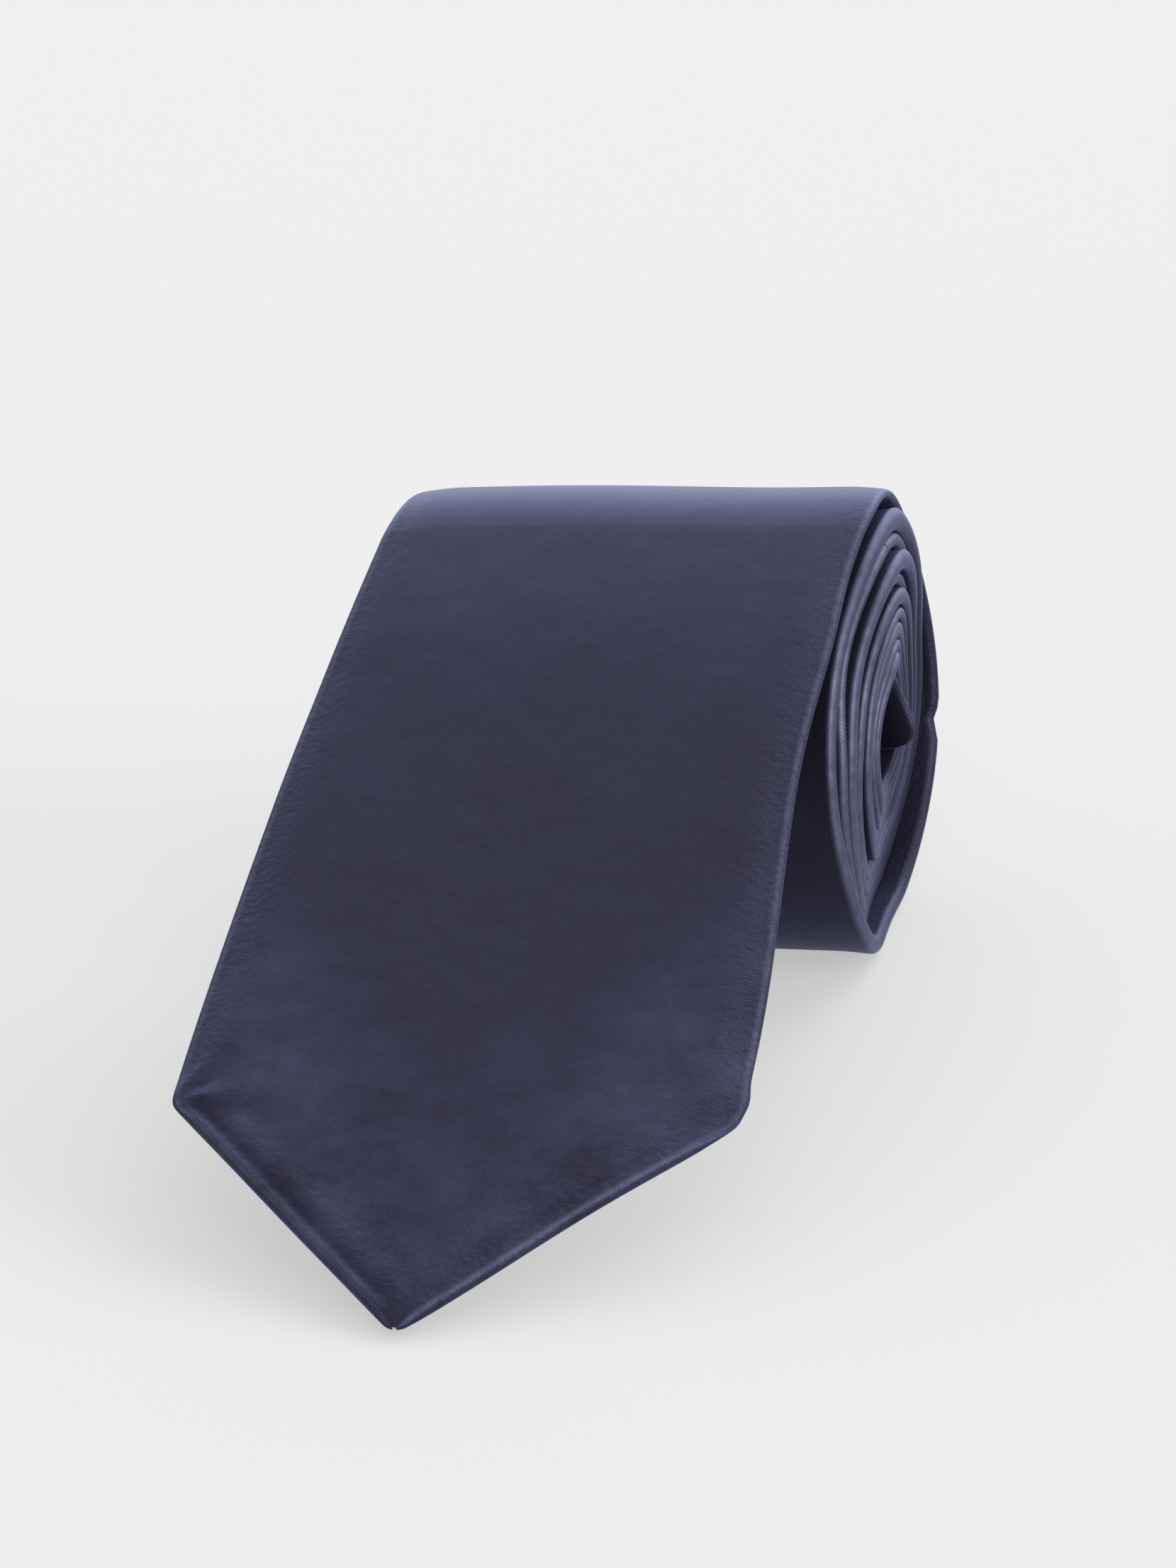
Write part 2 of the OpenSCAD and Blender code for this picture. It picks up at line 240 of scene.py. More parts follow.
def right_edge(s):
    s = np.asarray(s, float)
    leave_half = straight_width(FALL_LEN) / 2
    fall = EDGE_X + POINT_SHIFT * (1 - s / FALL_LEN) + straight_width(s) / 2 - leave_half
    inner = smooth(s, FALL_LEN + RECESS_FROM, FALL_LEN + RECESS_TO)
    height = line.read(s, line.z) - AXIS_Z
    tilt = CORE_TILT * line.read(s, line.y) * (1 - TOP_SPREAD * smooth(height, *TOP_ZONE))
    tilt = tilt - CORE_LEAN * height
    turn = line.turn_at(s)
    core_out = CORE_OUT * (1 + smooth(turn, 3, 7))
    under_arch = ARCH_IN * bump(turn, 1.3, 1.1) * smooth(height, *ARCH_ZONE)
    roll = EDGE_X - inner * (RECESS + tilt - core_out + under_arch)
    return np.where(s < FALL_LEN, fall, roll) + wave(s) * smooth(s, FALL_LEN - 60, FALL_LEN)


def centre_x(s):
    return right_edge(s) - straight_width(s) / 2


def half_thickness(s):
    return (TIE_T + (TAIL_T - TIE_T) * smooth(s, FALL_LEN, TIE_LEN)) / 2


def body_half(s):
    """Half the tie's thickness, which runs out at the very point of the blade or the tail."""
    return half_thickness(s) * smooth(half_width(s) / 5, -0.3, 1)


def flap_width(s):
    """Width of a back flap: it reaches the centre seam, and is only a hem near the points."""
    half = half_width(s)
    blade_end = s < TIE_LEN / 2
    hem = np.where(blade_end, HEM_W, TAIL_HEM_W)
    open_len = np.where(blade_end, TACK_AT - BLADE_POINT, TAIL_TACK_FROM_END - TAIL_POINT)
    from_corner = np.where(blade_end, s - BLADE_POINT, TIE_LEN - TAIL_POINT - s)
    flap = hem + (half - hem) * smooth(from_corner / open_len, 0, 1)
    return np.maximum(np.minimum(flap, half) - SEAM_GAP / 2, np.minimum(SHELL_T, half / 2))


# ---------------------------------------------------------------- shape of the soft cloth

def edge_distance(s, x):
    """Distance in from the blade's nearest edge, and how much that edge is one of the point's."""
    across = np.abs(x - centre_x(s))
    side = straight_width(s) / 2 - across
    point = (s - across) / math.sqrt(2)
    return np.minimum(side, point), smooth(side - point, -2, 2)


def hem_relief(s, x):
    """Rolled edge, sewn groove and ridge of the hem that shows on the front of the blade."""
    inside, of_point = edge_distance(s, x)
    along = (s + np.abs(x - centre_x(s))) / math.sqrt(2)
    pull = 0.8 + 0.2 * np.sin(along / 3.1 + np.sign(x - centre_x(s)))
    groove = -HEM_GROOVE * bump(inside, 2.1, 0.9)
    ridge = HEM_RIDGE * bump(inside, 4.6, 1.7)
    left_side = 1 - HEM_RIGHT_LESS * smooth(x - centre_x(s), -2, 6)
    return of_point * left_side * pull * (groove + ridge) * smooth(s, 2, 10)


def drape(s, x):
    """Slow rise and fall of the falling blade over its length and width."""
    side = (x - centre_x(s)) / BLADE_W
    slow = SLOW_DRAPE * np.sin(s / 23 + 2.2 * side + 0.5) * np.cos(1.7 * side + 0.3)
    long_fold = LONG_FOLD * np.sin(9 * side - s / 60)
    curl = -SIDE_CURL * (2 * side) ** 4
    free = smooth(s, 6, 30) * (1 - smooth(s, FALL_LEN - 45, FALL_LEN - 5))
    return free * (slow + long_fold + curl)


def corner_creases(s, x):
    """Short creases that fan out from the blade's left corner."""
    dx = x - (centre_x(BLADE_POINT) - BLADE_W / 2)
    ds = s - BLADE_POINT
    reach = np.hypot(dx, ds)
    fan = np.sin(7 * np.arctan2(ds, dx) + 0.4)
    return CORNER_CREASE * fan * smooth(reach, 1.5, 5) * bump(reach, 0, 14)


def side_bow(s, x):
    """Sideways shift of the tie's right side: the blade bows in and ends in a soft corner."""
    share = smooth((x - centre_x(s)) / (straight_width(s) / 2), 0, 1)
    bow = sum(shift * bump(s, at, length) for shift, at, length in SIDE_BOWS)
    nick = -NICK_DEPTH * bump(line.turn_at(s), NICK_TURN, 0.008) * smooth(share, 0.8, 1)
    return share * bow + nick


def tail_curl(s, x):
    """How far the tail's right corner has curled out of the eye of the roll, from 0 to 1."""
    return bump(s, TIE_LEN - CURL_FROM_END, CURL_LEN) * smooth(x - centre_x(s), *CURL_ZONE)


def roll_swell(s, x):
    """Gentle unevenness of the roll. Neighbouring wraps share it, so that they never touch."""
    angle = np.radians(LEAVE_ANGLE + 360 * line.turn_at(s))
    swell = SWELL_TWO * np.sin(2 * angle + x / 17)
    swell = swell + SWELL_THREE * np.sin(3 * angle - x / 9 + 1)
    return swell * smooth(s, FALL_LEN - 20, FALL_LEN + 30)


def edge_puff(s, x):
    """Share by which the tie is thicker or thinner near its folded edges."""
    near_right = bump(right_edge(s) - x, 0, PUFF_W)
    near_left = bump(x - right_edge(s) + straight_width(s), 0, PUFF_W)
    turn = line.turn_at(s)
    on_fall = FALL_PUFF * (1 - smooth(s, FALL_LEN - 10, FALL_LEN + 10))
    outer_top = TOP_PUFF * bump(turn, 0.06, 0.18)
    plump = WRAP_PUFF + WRAP_PUFF_STEP * np.cos(math.pi * (turn - 1.05))
    rolled = smooth(s, FALL_LEN, FALL_LEN + 40) * plump
    return (near_right + near_left) * (on_fall + outer_top + rolled)


def seat(s, x, n):
    """The place in the frame, in metres, of a point of the tie."""
    s, x, n = np.broadcast_arrays(np.asarray(s, float), np.asarray(x, float),
                                  np.asarray(n, float))
    n = n + np.where(s < FALL_LEN, drape(s, x) + corner_creases(s, x), 0) + roll_swell(s, x)
    curl = tail_curl(s, x)
    n = n - CURL_IN * curl
    x = x + side_bow(s, x) + CURL_OUT * curl
    hang = CURL_HANG * curl
    y = line.read(s, line.y) - line.read(s, line.tz) * n
    z = line.read(s, line.z) + line.read(s, line.ty) * n - hang
    z = z * (1 - SAG * (EDGE_X - x) / BLADE_W - RIGHT_SAG * bump(x, EDGE_X, RIGHT_SAG_W))
    z = z + np.where(s > FALL_LEN, FOOT_LIFT * (1 - smooth(z, 0, FOOT_ZONE)), 0)
    return np.stack([x - MID_X, y - MID_Y, z], axis=-1) * MM


# The CAD frame's origin, found from the hinge line and from the rolled blade's right edge
hinge = np.array(frame["joints"][0]["pos_m"]) / MM
MID_Y = (line.read(FALL_LEN, line.y) - line.read(FALL_LEN, line.tz) * TIE_T / 2) - hinge[1]
MID_X = EDGE_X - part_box("blade_shell_rolled")[1].x / MM


# ---------------------------------------------------------------- mesh building

def new_mesh(name, points, faces, layers=()):
    """A mesh object from points in metres. layers are (name, values) floats on its points."""
    points = np.asarray(points, float)
    faces = np.asarray(faces)
    a, b, c = points[faces[:, 0]], points[faces[:, 1]], points[faces[:, 2]]
    d = points[faces[:, 3]] if faces.shape[1] == 4 else a
    volume = (np.cross(a, b) * c).sum() + (np.cross(a, c) * d).sum()
    if volume < 0:
        faces = faces[:, ::-1]
    mesh = bpy.data.meshes.new(name)
    mesh.from_pydata(points.tolist(), [], faces.tolist())
    for layer_name, values in layers:
        attribute = mesh.attributes.new(layer_name, "FLOAT", "POINT")
        attribute.data.foreach_set("value", np.asarray(values, np.float32))
    mesh.polygons.foreach_set("use_smooth", np.ones(len(mesh.polygons), bool))
    mesh.set_sharp_from_angle(angle=math.radians(55))
    mesh.validate()
    obj = bpy.data.objects.new(name, mesh)
    bpy.context.scene.collection.objects.link(obj)
    return obj


def lay_cloth_map(obj, across, along):
    """A UV map that holds each point's place in the flat cloth, in units of 10 mm."""
    mesh = obj.data
    corners = np.zeros(len(mesh.loops), np.int32)
    mesh.loops.foreach_get("vertex_index", corners)
    place = np.stack([across[corners], along[corners]], axis=-1) / 10
    layer = mesh.uv_layers.new(name="cloth")
    layer.uv.foreach_set("vector", place.astype(np.float32).ravel())


def ring_faces(rings, ring_size):
    """Quads between closed rings of points, with the two ends closed by quads as well."""
    i, k = np.meshgrid(np.arange(rings - 1), np.arange(ring_size), indexing="ij")
    a = (i * ring_size + k).ravel()
    b = (i * ring_size + (k + 1) % ring_size).ravel()
    sides = np.stack([a, b, b + ring_size, a + ring_size], axis=-1)
    k = np.arange(ring_size // 2 - 1)
    cap = np.stack([k, ring_size - 1 - k, ring_size - 2 - k, k + 1], axis=-1)
    far = cap[:, ::-1] + (rings - 1) * ring_size
    return np.concatenate([sides, cap, far])


def swept(name, place, across, along, layers=()):
    """A closed solid through rings of points: place is an array [ring, point, xyz]."""
    rings, ring_size = place.shape[:2]
    obj = new_mesh(name, place.reshape(-1, 3), ring_faces(rings, ring_size),
                   [(n, np.broadcast_to(v, place.shape[:2]).ravel()) for n, v in layers])
    lay_cloth_map(obj, np.broadcast_to(across, place.shape[:2]).ravel(),
                  np.broadcast_to(along, place.shape[:2]).ravel())
    return obj


def stations(start, end, step):
    """Distances from start to end, closer together next to the blade's point and corners.

    A layer with a start before the corners begins at the blade's very point, whatever its start
    is, so the blade's interlining and lining reach further than LINING_START says.
    """
    plain = np.linspace(start, end, max(int(round((end - start) / step)), 2) + 1)
    if start > BLADE_POINT:
        return plain
    apex = POINT_ROUND * (math.sqrt(2) - 1)
    tip = apex + 0.01 + np.linspace(0, 1, 14) ** 2 * 3
    corner = np.linspace(BLADE_POINT - 4, BLADE_POINT + 4, 17)
    plain = plain[(plain > tip[-1] + 0.4) & (np.abs(plain - BLADE_POINT) > 4.4)]
    return np.sort(np.concatenate([tip, corner, plain]))


FOLD_CELLS = 10             # cells round each folded edge
FLAP_CELLS = 8              # cells across each back flap


def shell_paths(s, front_cells):
    """Outer and inner path of the folded shell at each distance s, from flap to flap.

    Returns x, n, place across the flat cloth, and how much painted sheen each point gets by its
    fold.
    """
    s = s[:, None]
    half, centre = half_width(s), centre_x(s)
    left, right = centre - half, centre + half
    slant = 1 + (math.sqrt(2) - 1) * (1 - smooth(s, BLADE_POINT - 3, BLADE_POINT + 3))
    thin = body_half(s)
    flap = flap_width(s)
    share = np.linspace(0, 1, front_cells + 1)[None, :]
    share = share - 0.11 * np.sin(2 * math.pi * share)
    turn = np.radians(np.linspace(90, -90, FOLD_CELLS + 1))[None, 1:-1]
    flap_share = np.linspace(0, 1, FLAP_CELLS + 1)[None, :]
    paths = []
    for inset in (0, 1):
        cloth = SHELL_T * np.minimum(half / 4, 1) * inset
        height_right = thin * (1 + edge_puff(s, right)) - cloth
        height_left = thin * (1 + edge_puff(s, left)) - cloth
        reach = np.minimum(thin * slant, half * 0.8)
        hub_left, hub_right = left + reach, right - reach
        fold = np.maximum(reach - cloth, 0.05)
        front_x = hub_left + (hub_right - hub_left) * share
        front_n = thin * (1 + edge_puff(s, front_x)) - cloth
        right_x = hub_right + fold * np.cos(turn)
        right_n = height_right * np.sin(turn)
        left_x = hub_left - fold * np.cos(turn)
        left_n = -height_left * np.sin(turn)
        edge_flap = np.maximum(flap, reach + 0.02)
        back_right_x = hub_right + (right - edge_flap - hub_right) * flap_share
        back_left_x = left + edge_flap + (hub_left - left - edge_flap) * flap_share
        back_right_n = -thin * (1 + edge_puff(s, back_right_x)) + cloth
        back_left_n = -thin * (1 + edge_puff(s, back_left_x)) + cloth
        x = np.concatenate([back_left_x, left_x, front_x, right_x, back_right_x], axis=1)
        n = np.concatenate([back_left_n, left_n, front_n, right_n, back_right_n], axis=1)
        arc = thin * (math.pi / 2 - turn)
        flat = np.concatenate([
            hub_left - thin * math.pi - (back_left_x - hub_left),
            hub_left - thin * math.pi + arc, front_x, hub_right + arc,
            hub_right + thin * math.pi + (hub_right - back_right_x)], axis=1) - centre
        rolled = smooth(s, FALL_LEN, FALL_LEN + 60)
        # Painted sheen: a pale band on the upper side of each folded edge, wider on the rolled
        # wraps
        sheen_right = bump(np.degrees(turn), 62 - 22 * rolled, 10 + 20 * rolled)
        sheen_line = np.concatenate([0 * back_left_x, sheen_right[:, ::-1], 0 * front_x,
                                 sheen_right, 0 * back_right_x], axis=1)
        paths.append((x, n, flat, sheen_line))
    return paths


def shell(name, start, end, step, front_cells):
    """The folded shell cloth between two distances: a front, two folds and two back flaps."""
    s = stations(start, end, step)
    (outer_x, outer_n, flat, sheen_line), (inner_x, inner_n, _, _) = shell_paths(s, front_cells)
    along = s[:, None] * np.ones_like(outer_x)
    outer_n = outer_n + np.where((outer_n > 0) & (along < FALL_LEN),
                                 hem_relief(along, outer_x), 0)
    place = np.concatenate([seat(along, outer_x, outer_n),
                            seat(along, inner_x, inner_n)[:, ::-1]], axis=1)
    across = np.concatenate([flat, flat[:, ::-1]], axis=1)
    both = np.concatenate([along, along[:, ::-1]], axis=1)
    # The painted sheen goes on the outer surface only
    painted_sheen = np.concatenate([sheen_line, 0 * sheen_line], axis=1)
    obj = swept(name, place, across, both, [("sheen_line", painted_sheen)])
    cut_width = np.abs(flat[:, -1] - flat[:, 0])
    area = float(np.sum((cut_width[1:] + cut_width[:-1]) / 2 * np.diff(s)))
    obj["cut"] = [float(cut_width.max()), float(s[-1] - s[0]), area]
    return obj


def slab(name, start, end, step, cells, half_span, low, high, soft_edge=0.0):
    """A flat layer between two levels. half_span, low and high are functions of s."""
    s = stations(start, end, step)[:, None]
    share = np.linspace(-1, 1, cells + 1)[None, :]
    x = centre_x(s) + half_span(s) * share
    bulge = 1 - soft_edge * np.abs(share) ** 6
    middle, thick = (low(s) + high(s)) / 2, (high(s) - low(s)) / 2
    puff = 1 + edge_puff(s, x)
    place = np.concatenate([seat(s, x, (middle + thick * bulge) * puff),
                            seat(s, x, (middle - thick * bulge) * puff)[:, ::-1]], axis=1)
    across = np.concatenate([x, x[:, ::-1]], axis=1) - centre_x(s)
    obj = swept(name, place, across, s * np.ones_like(across))
    width = 2 * half_span(s)[:, 0]
    area = float(np.sum((width[1:] + width[:-1]) / 2 * np.diff(s[:, 0])))
    obj["cut"] = [float(width.max()), float(s[-1, 0] - s[0, 0]), area]
    return obj


THREAD_SIDES = 6
ASKEW = (0.31, 0.47, 0.83)  # a direction that no stitch runs along


def threads(name, paths, radius):
    """Round threads along paths of (s, x, n) points, all in one mesh."""
    points, faces, across, along, used = [], [], [], [], 0
    for path in paths:
        path = np.asarray(path, float)
        middle = seat(path[:, 0], path[:, 1], path[:, 2])
        way = np.gradient(middle, axis=0)
        way /= np.linalg.norm(way, axis=1)[:, None]
        side = np.cross(way, np.array(ASKEW))
        side /= np.linalg.norm(side, axis=1)[:, None]
        up = np.cross(way, side)
        turn = np.linspace(0, 2 * math.pi, THREAD_SIDES, endpoint=False)
        ring = side[:, None] * np.cos(turn)[:, None] + up[:, None] * np.sin(turn)[:, None]
        points.append((middle[:, None] + ring * radius * MM).reshape(-1, 3))
        faces.append(ring_faces(len(path), THREAD_SIDES) + used)
        across.append(np.tile(turn * radius, len(path)))
        run = np.concatenate([[0], np.cumsum(np.linalg.norm(np.diff(middle, axis=0), axis=1))])
        along.append(np.repeat(run / MM, THREAD_SIDES))
        used += len(path) * THREAD_SIDES
    obj = new_mesh(name, np.concatenate(points), np.concatenate(faces))
    lay_cloth_map(obj, np.concatenate(across), np.concatenate(along))
    return obj


# ---------------------------------------------------------------- materials

class Nodes:
    """Short ways to add and link shader nodes."""

    def __init__(self, name):
        self.material = bpy.data.materials.new(name)
        self.material.use_nodes = True
        self.tree = self.material.node_tree
        self.shader = self.tree.nodes["Principled BSDF"]

    def add(self, kind, **settings):
        node = self.tree.nodes.new(kind)
        for key, value in settings.items():
            setattr(node, key, value)
        return node

    def link(self, source, target):
        self.tree.links.new(source, target)

    def math(self, operation, a, b=None):
        node = self.add("ShaderNodeMath", operation=operation)
        for value, socket in ((a, node.inputs[0]), (b, node.inputs[1])):
            if value is None:
                continue
            if isinstance(value, (int, float)):
                socket.default_value = value
            else:
                self.link(value, socket)
        return node.outputs[0]

    def noise(self, source, scale, detail=3.0, roughness=0.55):
        node = self.add("ShaderNodeTexNoise")
        node.inputs["Scale"].default_value = scale
        node.inputs["Detail"].default_value = detail
        node.inputs["Roughness"].default_value = roughness
        self.link(source, node.inputs["Vector"])
        return node.outputs["Fac"]

    def ramp(self, source, low, high):
        """source, mapped so that low becomes 0 and high becomes 1."""
        node = self.add("ShaderNodeMapRange")
        node.inputs["From Min"].default_value = low
        node.inputs["From Max"].default_value = high
        self.link(source, node.inputs["Value"])
        return node.outputs["Result"]

    def mix(self, factor, a, b):
        node = self.add("ShaderNodeMix", data_type="RGBA")
        if isinstance(factor, (int, float)):
            node.inputs["Factor"].default_value = factor
        else:
            self.link(factor, node.inputs["Factor"])
        for value, socket in ((a, node.inputs["A"]), (b, node.inputs["B"])):
            if isinstance(value, tuple):
                socket.default_value = (*value, 1)
            else:
                self.link(value, socket)
        return node.outputs["Result"]

    def bumped(self, height, distance_mm, strength=1.0, under=None):
        node = self.add("ShaderNodeBump")
        node.inputs["Distance"].default_value = distance_mm * MM
        node.inputs["Strength"].default_value = strength
        self.link(height, node.inputs["Height"])
        if under is not None:
            self.link(under, node.inputs["Normal"])
        return node.outputs["Normal"]


SHEEN_TINT, GLOSS_TINT = (0.4, 0.42, 0.95, 1), (0.68, 0.74, 1, 1)


def cloth_material(name, dark, light, roughness, gloss, sheen, twill_mm, twill_depth,
                   fold_sheen=None, satin_share=0.0, crinkle_mm=0.0):
    """Woven cloth with a diagonal twill, slow changes of tone and fine slubs.

    satin_share is how much of it mirrors in its own colour, as long satin floats do, and
    crinkle_mm is how deep the fine crinkles by the blade's edges are. fold_sheen is a paler
    colour painted along the folded edges as their sheen.
    """
    n = Nodes(name)
    cloth = n.add("ShaderNodeUVMap", uv_map="cloth").outputs["UV"]
    parts = n.add("ShaderNodeSeparateXYZ")
    n.link(cloth, parts.inputs[0])
    diagonal = n.math("ADD", parts.outputs["X"], n.math("MULTIPLY", parts.outputs["Y"], 0.8))
    wobble = n.math("MULTIPLY", n.noise(cloth, 3.0), 0.02)
    phase = n.math("MULTIPLY", n.math("ADD", diagonal, wobble), 2 * math.pi * 10 / twill_mm)
    twill = n.ramp(n.math("SINE", phase), -1, 1)
    # Random clouds of tone, made stronger toward the blade's point as a painted highlight there
    clouds = n.ramp(n.noise(cloth, 0.55, 6, 0.65), 0.34, 0.7)
    from_middle = n.math("ABSOLUTE", parts.outputs["X"])
    from_point = n.math("SUBTRACT", parts.outputs["Y"], from_middle)
    tip_highlight = n.ramp(from_point, 5.5, 0.8)
    clouds_and_tip_highlight = n.math("MULTIPLY", clouds, n.math("ADD", n.math("MULTIPLY", tip_highlight, 0.9), 0.1))
    fibre = n.noise(cloth, 38, 2)
    tone = n.math("ADD", n.math("MULTIPLY", clouds_and_tip_highlight, 0.6), n.math("MULTIPLY", twill, 0.16))
    tone = n.math("ADD", tone, n.math("MULTIPLY", n.ramp(fibre, 0.35, 0.65), 0.18))
    colour = n.mix(tone, dark, light)
    if fold_sheen is not None:
        # Painted sheen: a paler colour mixed in, in patches, along the folded edges
        sheen_line = n.add("ShaderNodeAttribute", attribute_name="sheen_line").outputs["Fac"]
        patchy_sheen = n.math("MULTIPLY", sheen_line, n.ramp(n.noise(cloth, 4, 2), -0.1, 0.8))
        colour = n.mix(n.math("MULTIPLY", patchy_sheen, 0.75), colour, fold_sheen)
    n.link(colour, n.shader.inputs["Base Color"])
    rough = n.add("ShaderNodeMapRange")
    rough.inputs["To Min"].default_value = roughness - 0.06
    rough.inputs["To Max"].default_value = roughness + 0.08
    n.link(fibre, rough.inputs["Value"])
    n.link(rough.outputs["Result"], n.shader.inputs["Roughness"])
    n.shader.inputs["Metallic"].default_value = satin_share
    n.shader.inputs["Sheen Weight"].default_value = sheen
    n.shader.inputs["Sheen Roughness"].default_value = 0.45
    n.shader.inputs["Sheen Tint"].default_value = SHEEN_TINT
    n.shader.inputs["Specular IOR Level"].default_value = gloss
    n.shader.inputs["Specular Tint"].default_value = GLOSS_TINT
    weave = n.math("ADD", twill, n.math("MULTIPLY", fibre, 0.8))
    fine = n.bumped(weave, twill_depth)
    by_edge = n.math("MAXIMUM", n.ramp(from_point, 1.6, 0.2), n.ramp(from_middle, 2.9, 3.7))
    crinkle = n.math("MULTIPLY", n.noise(cloth, 9, 3), by_edge)
    crinkled = n.bumped(crinkle, crinkle_mm, 1.0, fine)
    slow = n.bumped(n.noise(cloth, 1.3, 2), 0.14, 1.0, crinkled)
    n.link(slow, n.shader.inputs["Normal"])
    return n.material


# The satin's fold_sheen colour is painted sheen on its folded edges
satin = cloth_material(
    "navy_satin", dark=(0.009, 0.006, 0.01), light=(0.057, 0.062, 0.12), roughness=0.44,
    gloss=0.2, sheen=0.06, twill_mm=0.42, twill_depth=0.02, fold_sheen=(0.12, 0.125, 0.19),
    satin_share=0.7, crinkle_mm=0.16)
lining = cloth_material(
    "navy_lining", dark=(0.012, 0.014, 0.035), light=(0.025, 0.03, 0.07), roughness=0.36,
    gloss=0.3, sheen=0.1, twill_mm=0.3, twill_depth=0.015)
canvas = cloth_material(
    "wool_canvas", dark=(0.5, 0.46, 0.37), light=(0.68, 0.64, 0.54), roughness=0.9,
    gloss=0.2, sheen=0.1, twill_mm=0.9, twill_depth=0.12)
silk_thread = cloth_material(
    "navy_thread", dark=(0.02, 0.022, 0.05), light=(0.045, 0.05, 0.1), roughness=0.5,
    gloss=0.3, sheen=0.2, twill_mm=0.35, twill_depth=0.06)
label_tape = cloth_material(
    "label_tape", dark=(0.62, 0.62, 0.6), light=(0.76, 0.76, 0.73), roughness=0.4,
    gloss=0.3, sheen=0.0, twill_mm=0.4, twill_depth=0.03)


def finish_piece(obj, material, body, nodes):
    """Material, the CAD nodes it replaces hidden, and the body it rides on; a bend piece is only
    fixed in place.
    """
    obj.data.materials.append(material)
    if nodes:
        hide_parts(*nodes)
    if body == "bend":
        start, end = seat(BEND_START, 0, 0), seat(BEND_START - BEND_ZONE, 0, 0)
        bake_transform(obj)
    else:
        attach(obj, body)
    return obj


# ---------------------------------------------------------------- the shell's four lengths

def make_shells():
    # Name, start, end, cell length, cells across the front, body and CAD nodes
    parts = (
        ("blade_cloth_fall", 0, BEND_START, 1.1, 72, "bend", ["blade_shell_fall"]),
        ("blade_cloth_rolled", BEND_START, BLADE_SEAM_AT - CLOTH_GAP / 2, 1.6, 40, "roll",
         ["blade_shell_rolled"]),
        ("neck_cloth", BLADE_SEAM_AT + CLOTH_GAP / 2, TAIL_SEAM_AT - CLOTH_GAP / 2, 1.5, 22,
         "roll", ["neck_shell"]),
        ("tail_cloth", TAIL_SEAM_AT + CLOTH_GAP / 2, TIE_LEN, 1.2, 22, "roll",
         ["tail_shell", "tail_shell_core"]),
    )
    for name, start, end, step, front_cells, body, nodes in parts:
        finish_piece(shell(name, start, end, step, front_cells), satin, body, nodes)


# ---------------------------------------------------------------- inside the shell

def make_linings():
    def wool_half(s):
        return np.maximum(half_width(s) - SHELL_T - 1.5, 0.3)

    def wool_low(s):
        return -body_half(s) + SHELL_T + 0.25

    def wool_high(s):
        return body_half(s) - SHELL_T - 0.15

    wools = (
        ("interlining_canvas_fall", LINING_START, BEND_START, "bend", "interlining_fall"),
        ("interlining_canvas_rolled", BEND_START, WOOL_JOINT_AT, "roll", "interlining_rolled"),
        ("interlining_canvas_tail", WOOL_JOINT_AT + CLOTH_GAP, TIE_LEN - LINING_START, "roll",
         "interlining_tail"),
    )
    for name, start, end, body, node in wools:
        piece = slab(name, start, end, 2.0, 16, wool_half, wool_low, wool_high, 0.6)
        finish_piece(piece, canvas, body, [node])

    def tipping_low(s):
        return -body_half(s) + SHELL_T + 0.03

    def tipping_high(s):
        return -body_half(s) + SHELL_T + 0.18

    tippings = (
        ("blade_lining", LINING_START, LINING_START + BLADE_LINING_LEN, "blade",
         "blade_tipping"),
        ("tail_lining", TIE_LEN - TAIL_LINING_LEN, TIE_LEN - LINING_START, "roll",
         "tail_tipping"),
    )
    for name, start, end, body, node in tippings:
        piece = slab(name, start, end, 2.0, 24, wool_half, tipping_low, tipping_high)
        finish_piece(piece, lining, body, [node])


# ---------------------------------------------------------------- stitches

def arch(start, end, lift, points=5):
    """A stitch from start to end, both (s, x, n), that rises away from the back between them."""
    share = np.linspace(0, 1, points)[:, None]
    path = np.array(start) * (1 - share) + np.array(end) * share
    path[:, 2] -= lift * np.sin(math.pi * share[:, 0])
    return path


def back_level(s):
    return float(-half_thickness(s) + 0.12)


